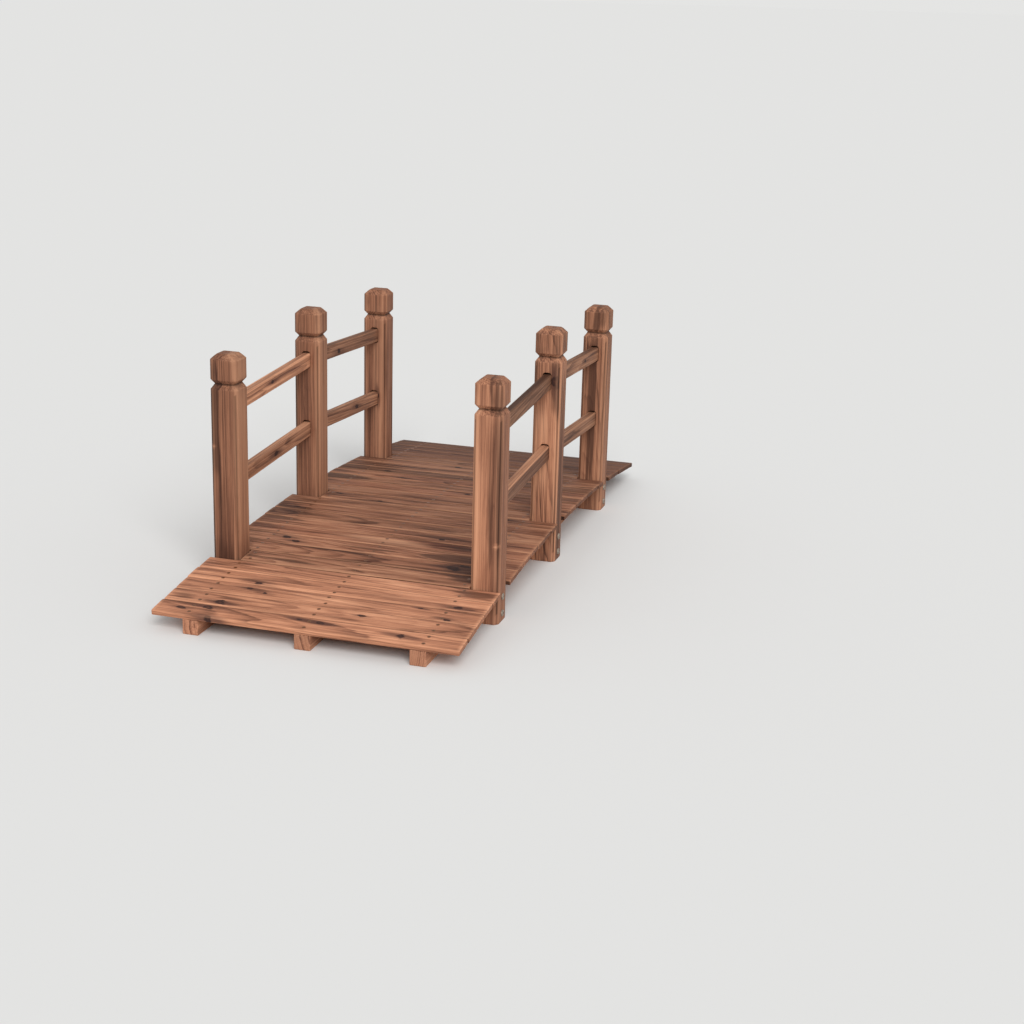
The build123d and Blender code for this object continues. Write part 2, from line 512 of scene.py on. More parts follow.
def wood_material(name, light, middle, dark, line=0.8, streaks=1.0, fine=1.0, run=1.8, thin=260,
                  end_shade=0.7):
    """Heat-treated softwood: growth rings, fibres, smoky streaks, knots and worn edges, with painted
    highlights, shade and light from the vertex layers.
    """
    graph = Graph(bpy.data.materials.new(name))
    grain = graph.attribute("grain", "Vector")
    rings = graph.attribute("rings")
    cut = graph.attribute("cut")
    stain = graph.attribute("stain")
    look = graph.node("ShaderNodeSeparateXYZ", {0: graph.attribute("tone", "Vector")})
    tone, red, figure = look.node.outputs
    along = graph.product(figure, graph.spread(cut, 0.0, 1.0, 1.0, 0.15))

    # Growth rings: each darkens slowly and ends in a thin dark line, some stronger than others
    jitter = graph.noise(grain, (12, 110, 110))
    numbered = graph.total(rings, graph.centred(jitter, 0.6))
    part = graph.math("FRACT", numbered)
    chance = graph.node(
        "ShaderNodeTexWhiteNoise", {"W": graph.math("FLOOR", numbered)}, "Value", noise_dimensions="1D",
    )
    slow = graph.product(graph.math("POWER", part, 2.6), graph.spread(part, 1.0, 0.9))
    ring_line = graph.product(slow, graph.spread(chance, 0.0, 1.0, 0.2, 1.0))

    # Fibres, streaks and clouds along the grain
    fibre = graph.noise(grain, (7, 480, 480), rough=0.65)
    thread = graph.noise(grain, (1.2 * run, thin, thin), rough=0.6)
    streak = graph.noise(grain, (run, 75, 75), detail=4.0, rough=0.65, distort=0.35)
    cloud = graph.noise(grain, (3.0, 15, 15))
    smoke = graph.noise(grain, (5.5, 34, 34), detail=4.0, rough=0.6)
    pores = graph.spread(graph.noise(grain, (40, 900, 900), detail=1.0), 0.6, 0.74)

    shade = graph.total(0.26, graph.product(ring_line, 0.62 * line, figure))
    for layer, reach in ((streak, 1.1 * streaks), (thread, 0.8 * fine), (cloud, 1.2 * streaks)):
        shade = graph.total(shade, graph.product(graph.centred(layer, reach), along))
    shade = graph.total(shade, graph.centred(fibre, 0.5))
    shade = graph.math("ADD", shade, graph.product(pores, 0.14), clamp=True)
    colour = graph.ramp(shade, ((0.0, light), (0.3, middle), (0.68, dark), (1.0, (58, 37, 31))))
    colour = graph.mix(red, colour, (158, 84, 60))

    # Smoky patches; where the stain is above 0 dark heartwood, and painted shade on rail faces and beside
    # the post feet; where it is below paler wood, and painted light on rail faces
    patch = graph.product(graph.spread(smoke, 0.58, 0.78), 0.45 * streaks, along)
    colour = graph.mix(patch, colour, (92, 62, 54))
    heartwood_and_shade = graph.spread(graph.total(stain, graph.centred(streak, 1.3)), 0.3, 0.8)
    colour = graph.mix(graph.product(heartwood_and_shade, graph.spread(stain, 0.02, 0.25), 0.75), colour, (82, 53, 42))
    pale_wood_and_light = graph.product(graph.spread(stain, 0.0, -1.0), graph.spread(streak, 0.75, 0.35, 0.3, 1.0))
    colour = graph.mix(graph.product(pale_wood_and_light, 0.8), colour, PALE_WOOD)

    # Knots: dark rim, browner heart, in a smoky halo drawn out along the grain
    spot = graph.total(graph.attribute("knot"), graph.centred(graph.noise(grain, (60, 150, 150)), 1.9))
    smoky = graph.total(graph.attribute("halo"), graph.centred(smoke, 2.0))
    halo = graph.product(graph.spread(smoky, 2.6, 0.8), graph.spread(streak, 0.35, 0.6, 0.2, 1.0))
    colour = graph.mix(graph.product(halo, 0.75), colour, (84, 55, 48))
    core = graph.ramp(graph.product(spot, 0.8), (
        (0.0, (88, 56, 44)), (0.35, (66, 43, 38)), (0.7, (52, 36, 34)),
    ))
    colour = graph.mix(graph.spread(spot, 1.3, 0.7), colour, core)

    # Worn edges are paler, the deck boards' front edges with a painted highlight too; painted shade darkens
    # the board joints, the mortises and the posts' neck groove; end grain is darker
    wear_and_highlight = graph.product(graph.attribute("edge"), graph.spread(streak, 0.72, 0.4, 0.25, 1.0), 0.62)
    colour = graph.mix(wear_and_highlight, colour, PALE_WOOD)
    level = graph.product(
        tone,
        graph.spread(cut, 0.0, 1.0, 1.0, end_shade),
        graph.spread(graph.attribute("dirt"), 0.0, 1.0, 1.0, 0.3),
    )
    height = graph.total(graph.product(fibre, 0.8), graph.product(ring_line, 0.5))
    height = graph.math("SUBTRACT", height, graph.product(pores, 0.5))
    return graph.surface({
        "Base Color": graph.node("ShaderNodeVectorMath", {0: colour, "Scale": level}, operation="SCALE"),
        "Roughness": graph.spread(fibre, 0.2, 0.8, 0.56, 0.78),
        "Specular IOR Level": 0.14,
        "Normal": graph.bump(height, 0.6, 0.5 * MM),
    })


def zinc_material():
    """Zinc-plated steel, dull and pale on the bolts, browned on the screws."""
    graph = Graph(bpy.data.materials.new("zinc_steel"))
    place = graph.node("ShaderNodeTexCoord", {}, "Object")
    patch = graph.noise(place, (320, 320, 320), detail=4.0, rough=0.6)
    colour = graph.ramp(patch, ((0.3, (90, 80, 70)), (0.5, (138, 125, 111)), (0.8, (190, 177, 162))))
    aged = graph.product(graph.attribute("aged"), 0.95)
    return graph.surface({
        "Base Color": graph.mix(aged, colour, (112, 68, 34)),
        "Metallic": 0.35,
        "Roughness": graph.spread(patch, 0.3, 0.8, 0.34, 0.55),
        "Normal": graph.bump(patch, 0.25, 0.2 * MM),
    })


MATERIALS = {
    "deck_wood": wood_material(
        "deck_wood", (226, 164, 128), (186, 128, 98), (112, 74, 57), fine=1.2, run=5.0, thin=230,
    ),
    "post_wood": wood_material(
        "post_wood", (208, 148, 114), (170, 117, 90), (106, 72, 57),
        streaks=0.7, fine=1.8, thin=370, end_shade=0.95,
    ),
    "rail_wood": wood_material(
        "rail_wood", (212, 156, 122), (172, 122, 94), (108, 74, 60), streaks=0.8, fine=1.3,
    ),
    "stringer_wood": wood_material(
        "stringer_wood", (222, 164, 130), (190, 134, 104), (116, 78, 62), line=0.9, end_shade=1.0,
    ),
    "zinc_steel": zinc_material(),
}


# Pieces

def straight_piece(node, slot, growth, lie, shape, cutters=(), stain=nothing, dirt=nothing, wear_and_highlight=None):
    """A planed stick in place of a straight CAD piece.

    shape holds its easing, corner radii, mesh steps and how far its surface is warped.
    """
    place, (length, width, thick) = lie
    width -= 2 * shape["ease"]
    outline = rounded_outline(width, -thick / 2, thick / 2, shape["top"], shape["foot"], shape["step"])
    rng = np.random.default_rng(growth.seed + 9)
    start, end = length / 2 * np.array([-1, 1]) + rng.uniform(0, shape["ragged"], 2) * (1, -1)
    along, *corner = shape["end"]
    count = round(length / shape["station"])
    loops = end_loops(outline, start, 1, along, corner)
    loops += [(station, outline) for station in np.linspace(start + along, end - along, count)[1:-1]]
    loops += end_loops(outline, end, -1, along, corner)[::-1]
    mesh = loops_to_mesh(node, loops)
    warp_top(mesh, width / 2, thick, shape["warp"], rng)
    weather(mesh, growth)
    if cutters:
        mesh = cut(mesh, cutters)
    wear_and_highlight = wear_and_highlight or worn_edges(width, -thick / 2, thick / 2)
    paint(mesh, growth, wear_and_highlight, (start + END_GRAIN, end - END_GRAIN), stain, dirt)
    show(mesh, node + "_timber", place, slot, node)


def warp_top(mesh, half, thick, reach, rng):
    """Cups, tilts and bows the upper face a little downward; the underside stays flat."""
    points = vectors_of(mesh.vertices)
    side = np.clip(points[:, 1] / half, -1, 1)
    share = points[:, 2] / thick + 0.5
    phase = rng.uniform(0, 6.28)
    tilt = rng.choice([-1, 1]) * rng.uniform(0.3, 1.0)
    sag = 0.4 * side**2 + 0.5 * (1 + tilt * side) / 2 + 0.25 * (1 + np.sin(9 * points[:, 0] + phase))
    points[:, 2] -= reach * share * sag
    move(mesh, points)


# Knots of the boards in mm: board number, then place along, place across, radius
BOARD_KNOTS = {
    1: ((-226, 14, 5.5), (-208, -25, 6), (-280, 0, 4.5), (-25, 15, 4.5), (25, 11, 5), (203, 1, 6)),
    2: ((-212, -13, 6.5), (96, 6, 3.5)),
    3: ((-180, 9, 5.5), (-140, -4, 4), (270, -19, 6), (200, 18, 3.5)),
    4: ((-173, -18, 6.5), (275, -14, 6.5)),
    7: ((197, 0, 8.5), (218, 15, 5)),
    8: ((-222, 12, 6.5), (-192, -11, 5)),
    10: ((118, -9, 4.5),),
    12: ((-285, -8, 5),),
    13: ((214, 11, 5),),
    14: ((-116, -14, 5), (-233, 14, 5)),
    16: ((62, 8, 5.5),),
    18: ((-136, -12, 5),),
    19: ((-202, -12, 5), (155, 9, 6)),
    21: ((-52, 4, 6),),
    24: ((176, -8, 6), (-250, 12, 5)),
    26: ((-70, 10, 7),),
    27: ((232, -6, 5),),
}

# Smoky (above 0) and pale (below 0) streaks of the boards, with painted contact shadow beside
# the post feet, in mm: place along, place across, reach along, reach across, strength
BOARD_SMOKE_AND_SHADOW = {
    1: ((-215, -6, 40, 12, 0.7), (10, 12, 60, 9, 0.8)),
    2: ((-300, 0, 40, 20, 0.7), (-195, 8, 55, 10, 0.7), (60, -14, 80, 6, 0.8)),
    3: ((-160, 4, 50, 10, 0.8), (255, -14, 40, 9, 0.8), (20, 4, 110, 14, -0.5)),
    4: ((-185, -8, 60, 12, 0.8), (60, 14, 90, 6, 0.6), (140, 0, 70, 12, -0.4)),
    5: ((-250, 10, 60, 8, 0.8), (290, 0, 60, 20, 1.0), (130, 4, 60, 8, -0.7)),
    6: ((-300, 0, 50, 30, 0.5), (-160, -6, 80, 10, 0.8), (240, 10, 50, 20, 0.9), (110, 10, 60, 8, -0.5)),
    7: ((220, 0, 60, 24, 1.1), (-60, 18, 120, 6, 0.8)),
    8: ((-25, -2, 110, 9, 0.8), (150, -4, 50, 16, 0.9), (215, 0, 70, 24, 1.1)),
    9: ((185, 4, 60, 14, 0.9), (0, 0, 110, 18, -1.2)),
    10: ((-265, 12, 60, 8, 0.8), (120, 0, 90, 14, 0.9)),
    11: ((-240, 5, 60, 12, 0.4), (110, -8, 90, 14, 0.7)),
    12: ((-290, -14, 50, 8, 0.8),),
    17: ((-270, 0, 90, 24, 0.7), (60, 0, 60, 14, -0.5)),
    19: ((-60, 0, 260, 20, 0.5),),
}

# Tones of boards that stand out from their neighbours; they replace their region's tone, painted shade
# included
BOARD_TONES = {6: 0.67, 9: 0.76, 14: 0.6, 16: 0.66, 18: 0.6, 19: 0.36, 22: 0.44}

BOARD_SHAPE = dict(
    ease=0.5 * MM, top=3.0 * MM, foot=0.8 * MM, end=(2.6 * MM, 2.8 * MM, 1.8 * MM),
    step=2.4 * MM, station=6 * MM, ragged=1.8 * MM, warp=0.6 * MM,
)
RAIL_SHAPE = dict(
    ease=0.0, top=3.0 * MM, foot=3.0 * MM, end=(1.0 * MM, 1.0 * MM, 1.0 * MM),
    step=2.6 * MM, station=5 * MM, ragged=0.0, warp=0.0,
)


def board_spots(number, width):
    """Screw places (along, across) on a board: two over each stringer."""
    rng = np.random.default_rng(900 + number)
    reach = STRINGER_LINE if number in SHORT_BOARDS else STRINGER_LINE + SCREW_OUTSET
    return [
        (line + rng.uniform(-2, 2) * MM, row * width + rng.uniform(-1.5, 1.5) * MM)
        for line in (-reach, 0.0, reach)
        for row in (-0.25, 0.25)
    ]


def dish(along, across, surface):
    """Cutter for one countersunk hole."""
    return mesh_of("dish", [
        [(along + x, across + y, surface - depth * MM) for x, y in circle(20, radius * MM)]
        for depth, radius in ((-2.0, 4.7), (-0.2, 4.7), (0.7, 4.05), (1.4, 4.05))
    ])


def deck_board(number):
    """One deck board with its own growth."""
    node = f"deck_board_{number:02d}"
    lie = lie_of(node, (1, 0, 0), (0, 0, 1))
    length, width, thick = lie[1]
    rng = np.random.default_rng(100 + number)
    # Tone by region with random differences between boards: the bays between the railings are darker with
    # painted shade, and the back ramp, tilted away from the light, darker still with painted shade that
    # deepens board by board
    if number <= FRONT_RAMP_BOARDS:
        tone, red, figure = rng.uniform(1.0, 1.1), 0.04, 0.8
    elif number < SHORT_BOARDS[1]:
        tone, red, figure = rng.uniform(0.56, 0.72), rng.uniform(0.05, 0.2), 1.1
    elif number < BACK_RAMP_FIRST:
        tone, red, figure = rng.uniform(0.44, 0.56), rng.uniform(0.05, 0.2), 1.1
    else:
        tone, red, figure = 0.36 - 0.02 * (number - BACK_RAMP_FIRST), 0.35, 1.0
    growth = Growth(
        seed=number * 11, pith=(rng.uniform(-32, 32), rng.choice([-1, 1]) * rng.uniform(45, 95)),
        ring=rng.uniform(4.2, 6.4), wander=rng.uniform(4, 8), lean=rng.uniform(-0.05, 0.05),
        knots=BOARD_KNOTS.get(number, ()), tone=BOARD_TONES.get(number, tone), red=red, figure=figure,
    )
    # Strength of the front edge's wear and painted highlight, weaker on the front ramp
    front_wear_and_highlight = rng.uniform(0.35, 0.6) if number <= FRONT_RAMP_BOARDS else rng.uniform(0.7, 1.3)
    joint_in_front = number > 1
    joint_behind = number < BOARD_COUNT

    def smoke(points):
        along, across = points.T[:2]
        total = np.zeros(len(points))
        for u, v, reach_u, reach_v, strength in BOARD_SMOKE_AND_SHADOW.get(number, ()):
            du = along - u * MM
            dv = across - v * MM + 0.04 * du
            total += strength * np.exp(-((du / (reach_u * MM)) ** 2) - (dv / (reach_v * MM)) ** 2)
        if number > FRONT_RAMP_BOARDS:
            total += 0.5 * smooth_step(-0.18, -0.3, along)
        return total

    def joint_shade(points):
        """Painted shade on the sides in the joints, along the edge that faces the back, and on the first
        board's front face.
        """
        across, up = points.T[1:]
        from_front = width / 2 + across
        from_back = width / 2 - across
        front = smooth_step(1.8 * MM, 0.9 * MM, from_front) * joint_in_front
        back = smooth_step(1.8 * MM, 0.9 * MM, from_back) * joint_behind
        side = np.maximum(front, back) * smooth_step(1.8 * MM, 3.6 * MM, thick / 2 - up)
        line = smooth_step(4.2 * MM, 1.8 * MM, from_back) * joint_behind
        face = 0.22 * (not joint_in_front) * smooth_step(3 * MM, 1 * MM, from_front)
        return np.maximum(np.maximum(side, face), 0.75 * line)

    def wear_and_front_highlight(points):
        """Paler along the edge that faces the front, from wear and a painted highlight, and worn paler at
        the ends.
        """
        along, across, up = points.T
        front = bell(width / 2 + across, 2.4 * MM, 2.2 * MM)
        tip = bell(length / 2 - np.abs(along), 2.6 * MM, 2.4 * MM)
        return np.maximum(front_wear_and_highlight * front, 0.7 * tip) * smooth_step(3.4 * MM, 2.2 * MM, thick / 2 - up)

    holes = [dish(u, v, thick / 2) for u, v in board_spots(number, width)]
    straight_piece(node, "deck_wood", growth, lie, BOARD_SHAPE, holes, smoke, joint_shade, wear_and_front_highlight)


def rail(node, seed, tone, top, side, knots):
    """One rail, its grain seen from the side."""
    lie = lie_of(node, (0, 1, 0), (1, 0, 0))
    height, thick = lie[1][1:]
    rng = np.random.default_rng(seed)
    growth = Growth(
        seed=seed, pith=(rng.uniform(-30, 30), rng.uniform(-60, -30)), ring=rng.uniform(3.2, 4.6),
        wander=4.5, lean=rng.uniform(-0.06, 0.06), knots=knots, tone=tone,
    )

    # Painted shade on the rail's top and right side, painted light where the value is below 0, for how the
    # light falls on these faces
    def stain(points):
        upper = smooth_step(3.4 * MM, 1.8 * MM, height / 2 - points[:, 1])
        outer = smooth_step(3.0 * MM, 1.6 * MM, thick / 2 - points[:, 2])
        return top * upper + side * outer * (1 - upper)

    straight_piece(node, "rail_wood", growth, lie, RAIL_SHAPE, stain=stain)


# Rails: seed, tone, painted shade of the top and of the right side (painted light below 0), knots in mm
# (along, up, radius)
RAILS = {
    "upper_rail_front_left": (61, 1.18, 0.5, 0.0, ((-20, 3, 4.5),)),
    "lower_rail_front_left": (62, 0.84, 0.1, 0.15, ((-6, 0, 6),)),
    "upper_rail_back_left": (63, 0.72, 0.5, 0.0, ((-75, -4, 6),)),
    "lower_rail_back_left": (64, 0.9, 0.6, 0.0, ((44, 4, 5),)),
    "upper_rail_front_right": (65, 0.5, 0.8, 0.0, ()),
    "lower_rail_front_right": (66, 0.9, -0.3, 0.75, ()),
    "upper_rail_back_right": (67, 0.7, 0.8, 0.2, ((60, 2, 4.5),)),
    "lower_rail_back_right": (68, 0.62, 0.2, 0.35, ()),
}


def soften(profile, reach):
    """Replaces each inner corner of a profile of (height, section, chamfer) by a small curve."""
    out = [profile[0]]
    for before, here, after in zip(profile, profile[1:], profile[2:]):
        start, end = (
            here + (side - here) * min(0.45, reach / np.linalg.norm((side - here)[:2]))
            for side in (before, after)
        )
        for share in (0.0, 0.5, 1.0):
            out.append((1 - share) ** 2 * start + 2 * share * (1 - share) * here + share**2 * end)
    out.append(profile[-1])
    return np.array(out)


def fill_in(profile, step):
    """Adds rows to a profile so that none is longer than step."""
    rows = [profile[0]]
    for start, end in zip(profile, profile[1:]):
        count = max(1, math.ceil((end[0] - start[0]) / step))
        rows += [start + (end - start) * index / count for index in range(1, count + 1)]
    return np.array(rows)


def post_profile(height, section):
    """Rows of (height, section, chamfer) from the foot of a post to the top of its cap."""
    bevel_foot = height - CAP_BEVEL_HEIGHT
    cap_foot = bevel_foot - CAP_BLOCK_HEIGHT
    neck = cap_foot - NECK_UPPER_SLOPE
    shoulder = neck - NECK_LOWER_SLOPE
    return np.array([
        (0.0, section, POST_CHAMFER),
        (shoulder, section, POST_CHAMFER),
        (neck, section - 2 * NECK_DEPTH, NECK_CHAMFER),
        (cap_foot, section, POST_CHAMFER),
        (bevel_foot, section, POST_CHAMFER),
        (height, section - 2 * CAP_BEVEL_INSET, CAP_TOP_CHAMFER),
    ])


def mortise_cutter(rail_node, y, half):
    """A slot with round corners and a flared mouth, for this rail in the post at y."""
    place, size = lie_of(rail_node, (0, 1, 0), (1, 0, 0))
    run, centre = place.col[0].xyz, place.translation
    facing = math.copysign(1.0, centre.y - y)
    middle = centre.z + run.z / run.y * (y + facing * (half - MORTISE_DEPTH / 2) - centre.y)
    middle += (MORTISE_ABOVE - MORTISE_BELOW) / 2
    width = size[2] + 2 * MORTISE_SIDE
    height = size[1] + MORTISE_ABOVE + MORTISE_BELOW
    outline = rounded_outline(width, middle - height / 2, middle + height / 2,
                              MORTISE_CORNER, MORTISE_CORNER, 50 * MM, arc_steps=5)
    wide = (0.0, middle) + (outline - (0.0, middle)) * (1 + 2 * MORTISE_FLARE / width)
    rows = ((-2 * MM, wide), (0.0, wide), (MORTISE_FLARE, outline), (MORTISE_DEPTH, outline))
    return mesh_of("slot", [[(x, facing * (half - depth), z) for x, z in loop] for depth, loop in rows])


def cut(mesh, cutters):
    """The mesh with the cutters taken away."""
    piece = add_object("blank", mesh)
    helpers = [add_object("cutter", cutter) for cutter in cutters]
    for helper in helpers:
        modifier = piece.modifiers.new("cut", "BOOLEAN")
        modifier.operation = "DIFFERENCE"
        modifier.solver = "EXACT"
        modifier.object = helper
    bpy.context.view_layer.update()
    graph = bpy.context.evaluated_depsgraph_get()
    result = bpy.data.meshes.new_from_object(piece.evaluated_get(graph), depsgraph=graph)
    for helper in helpers + [piece]:
        bpy.data.objects.remove(helper)
    return result


# Growth of each post, lengths in mm: seed, pith across and deep from its middle, ring, wander,
# tone, lean, red, figure, knots
POST_GROWTH = {
    "post_front_left": (501, (-52, 34), 4.2, 4, 0.6, 0.0, 0.08),
    "post_mid_left": (512, (-40, 52), 4.0, 5, 0.62, 0.0, 0.06),
    "post_back_left": (523, (46, 30), 4.6, 4, 0.7, 0.0, 0.08, 1.0, ((250, 10, 4.5),)),
    "post_front_right": (534, (18, 66), 3.6, 3, 0.82, 0.0, 0.06),
    "post_mid_right": (545, (30, 44), 5.0, 7, 0.86, 0.05, 0.0, 1.0, ((434, 18, 8),)),
    "post_back_right": (556, (-14, 58), 4.2, 6, 0.72, -0.04),
}

# Small pale chips in mm: height, place across the front face
POST_NICKS = {"post_front_left": (327, -26), "post_front_right": (174, 24)}

# Stains of the posts in mm: from and to round the post (0 in the middle of the front, growing
# to the right, the chamfers at 24 to 40), from and to in height, dark above 0 and pale below
POST_MARKS = {
    "post_front_left": (
        (-42, -8, 280, 480, 0.8), (-42, -6, 20, 300, 0.5), (-40, 22, -60, 110, 0.3),
        (-10, 26, -60, 280, 0.3), (26, 42, 200, 480, -1.0), (26, 42, 110, 200, -0.4),
        (40, 92, 110, 470, -0.9), (-42, -8, 480, 570, 0.45), (20, 92, 475, 545, -0.7),
        (-42, 42, 518, 570, -0.4),
    ),
    "post_mid_left": (
        (-42, -20, 220, 400, 0.7), (-26, 26, 0, 250, 0.3), (24, 42, 130, 570, -0.8),
        (40, 92, 40, 570, -0.6),
    ),
    "post_back_left": (
        (-28, -4, 60, 260, 0.25), (-4, 28, 20, 500, -0.5), (-42, -14, 480, 570, 0.5),
        (40, 92, -60, 300, 0.4),
    ),
    "post_front_right": (
        (-44, -20, -60, 480, -1.0), (-24, -12, 60, 360, -0.45), (4, 42, 120, 500, 0.5),
        (26, 42, 160, 480, 0.2), (44, 92, 200, 560, -0.2), (42, 92, -60, 130, 0.45),
        (2, 38, 470, 570, 0.5), (-42, 6, 500, 570, 0.35), (-14, 12, 90, 300, 0.15),
    ),
    "post_mid_right": (
        (-42, -22, 30, 380, -0.7), (-26, 8, 180, 370, -0.7), (4, 38, 350, 490, 0.55),
        (28, 42, 30, 420, 0.5), (-42, 92, 495, 570, 0.45), (-42, -8, 410, 500, 0.35),
        (42, 92, -60, 490, 0.65),
    ),
    "post_back_right": (
        (-12, 8, 100, 500, 0.5), (-28, 6, 20, 480, 0.25), (28, 42, 80, 480, -0.4),
        (44, 92, 80, 480, 0.35), (-6, 42, 475, 570, 0.6),
    ),
}


def post_stain(node):
    """Dark heartwood (above 0) and pale streaks (below 0) of a post at each point."""
    def stain(points):
        up, across, deep = points.T / MM
        turn = np.clip(across / 8, -1, 1)
        wrapped = across + turn * np.maximum(0, deep + 32) + 2.5 * noise(points, (6, 0, 0), 77)
        total = 0.3 * smooth_step(0.2, 0.9, noise(points, (2.5, 40, 40), 91))
        for start, end, foot, top, strength in POST_MARKS[node]:
            fade = 0.2 * (top - foot)
            band = smooth_step(start - 4, start + 4, wrapped) * smooth_step(end + 4, end - 4, wrapped)
            reach = smooth_step(foot - fade, foot + fade, up) * smooth_step(top + fade, top - fade, up)
            total += strength * band * reach * smooth_step(31, 26, deep)
        if node in POST_NICKS:
            height, place = POST_NICKS[node]
            total -= 4 * bell(up, height, 3.2) * bell(across, place, 4.5) * smooth_step(-10, -24, deep)
        return total
    return stain


def post(node, rails):
    """One post: a lofted stick from foot to cap, with a mortise for each rail that ends in it."""
    low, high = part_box(node)
    section = high.x - low.x
    height = high.z - low.z
    x, y = (low.x + high.x) / 2, (low.y + high.y) / 2
    growth = Growth(*POST_GROWTH[node], knot_end=-22)
    profile = post_profile(height, section)
    loops = [(row[0], octagon(row[1], row[2])) for row in fill_in(soften(profile, 1.0 * MM), 5 * MM)]
    foot, cap = loops[0][1], loops[-1][1]
    foot_loops = [(0.0, foot * share) for share in (0.15, 0.5, 0.85, 0.985)] + [(0.5 * MM, foot)]
    cap_loops = [(height - 0.7 * MM, cap)] + [(height, cap * share) for share in (0.955, 0.8, 0.5, 0.2)]
    mesh = loops_to_mesh(node, foot_loops + loops[1:-1] + cap_loops)
    weather(mesh, growth, 0.8)
    # The loops run along X, so the post is stood up: grain to +Z, across to +X, deep to +Y
    upright = Matrix(((0, 1, 0, 0), (0, 0, 1, 0), (1, 0, 0, 0), (0, 0, 0, 1)))
    mesh.transform(upright)
    mesh = cut(mesh, [mortise_cutter(rail_node, y, section / 2) for rail_node in rails])
    mesh.transform(upright.inverted())
    neck = profile[2, 0]

    def arrises(points):
        """1 on the eight long edges, fading within a few millimetres."""
        up, side, depth = np.abs(points.T)
        half = np.interp(up, profile[:, 0], profile[:, 1]) / 2
        corner = half - np.interp(up, profile[:, 0], profile[:, 2])
        nearest = np.minimum(np.hypot(side - half, depth - corner), np.hypot(side - corner, depth - half))
        return np.exp(-nearest / (1.6 * MM))

    def hollow(points):
        """Painted shade inside the mortises and in the neck's groove."""
        up, side, depth = np.abs(points.T)
        inside = np.interp(up, profile[:, 0], profile[:, 1]) / 2 - np.maximum(side, depth)
        slot = smooth_step(1.5 * MM, 6 * MM, inside) * (up > 20 * MM) * (up < neck - 20 * MM)
        return np.maximum(slot, 0.85 * bell(up, neck, 2.2 * MM))

    paint(mesh, growth, arrises, (0.2 * MM, height - END_GRAIN), post_stain(node), hollow)
    show(mesh, node + "_timber", Matrix.Translation((x, y, 0)) @ upright, "post_wood", node)


# Stringers: seed, pith beside the end in mm, ring width in mm, tone
STRINGERS = {
    "stringer_left": (701, (-150, 20), 11.0, 0.95),
    "stringer_middle": (702, (-170, 60), 9.0, 0.76),
    "stringer_right": (703, (190, 40), 4.5, 0.82),
}


def stringer(node, seed, pith, ring, tone):
    """One stringer: flat foot, square ends and an arched top, its height read from the CAD piece."""
    low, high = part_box(node)
    width = high.x - low.x
    half = (high.y - low.y) / 2
    points = vectors_of(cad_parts[node].data.vertices)
    end_top = points[points[:, 1] < low.y + 1 * MM][:, 2].max()
    rise = high.z - end_top
    radius = (half**2 + rise**2) / (2 * rise)
    growth = Growth(seed, pith, ring, wander=5, tone=tone, red=0.1, figure=1.2)
    ease = STRINGER_RADIUS
    base = rounded_outline(width, 0.0, high.z, ease, ease, 3.2 * MM)

    def outline_at(place):
        top = high.z - radius + math.sqrt(radius**2 - place**2)
        outline = base.copy()
        side = (base[:, 1] > ease) & (base[:, 1] < high.z - ease)
        outline[side, 1] *= (top - 2 * ease) / (high.z - 2 * ease)
        outline[base[:, 1] >= high.z - ease, 1] += top - high.z
        return outline

    inner = (0.8, 0.6, 0.4, 0.2, 0.05)
    loops = end_loops(outline_at(-half), -half, 1, ease, (ease, ease), inner)
    for station in np.linspace(-half + ease, half - ease, round(2 * half / (9 * MM)))[1:-1]:
        loops.append((station, outline_at(station)))
    loops += end_loops(outline_at(half), half, -1, ease, (ease, ease), inner)[::-1]
    mesh = loops_to_mesh(node, loops)
    weather(mesh, growth)
    paint(mesh, growth, worn_edges(width, 0.0, high.z), (-half + END_GRAIN, half - END_GRAIN))
    turn = Matrix(((0, -1, 0, 0), (1, 0, 0, 0), (0, 0, 1, 0), (0, 0, 0, 1)))
    place = Matrix.Translation(((low.x + high.x) / 2, 0, 0)) @ turn
    show(mesh, node + "_timber", place, "stringer_wood", node)


def screw_head():
    """Countersunk head with a cross recess, its rim at z = 0."""
    rim = circle(24, SCREW_HEAD / 2)
    # Shares of the rim's radius that draw the recess as a cross with four arms
    cross = np.tile((0.5, 0.3, 0.17, 0.17, 0.17, 0.3), 4)[:, None]
    rows = ((0.55, -1.6), (1.0, -0.35), (1.0, -0.1), (0.94, 0.0), (0.5, 0.05), (cross, 0.05), (cross, -0.9))
    return mesh_of("screw_head", [[(x, y, depth * MM) for x, y in rim * share] for share, depth in rows])


def deck_screws():
    """Two screws for each board on each stringer, their heads a little below the board's face."""
    head = screw_head()
    rng = np.random.default_rng(7)
    parts = []
    for number in range(1, BOARD_COUNT + 1):
        place, size = lie_of(f"deck_board_{number:02d}", (1, 0, 0), (0, 0, 1))
        for along, across in board_spots(number, size[1]):
            turn = Matrix.Rotation(rng.uniform(0, math.pi), 4, "Z")
            spot = Matrix.Translation((along, across, size[2] / 2 - SCREW_DEPTH))
            parts.append((head, place @ spot @ turn))
    show_steel("deck_screws", parts, aged=1.0)


def show_steel(name, parts, aged):
    """One steel piece from (mesh, matrix) pairs, browned where aged is 1."""
    work = bmesh.new()
    for mesh, place in parts:
        part = mesh.copy()
        part.transform(place)
        work.from_mesh(part)
        bpy.data.meshes.remove(part)
    mesh = bpy.data.meshes.new(name)
    work.to_mesh(mesh)
    work.free()
    store(mesh, "aged", np.full(len(mesh.vertices), aged))
    show(mesh, name, Matrix.Identity(4), "zinc_steel")


def disc(start, end, radius, sides, bevel):
    """Loops of a short bar along X with bevelled rims."""
    step = math.copysign(bevel, end - start)
    rows = ((start, radius - bevel), (start + step, radius), (end - step, radius), (end, radius - bevel))
    return [[(x, y, z) for y, z in circle(sides, reach, 0.5)] for x, reach in rows]


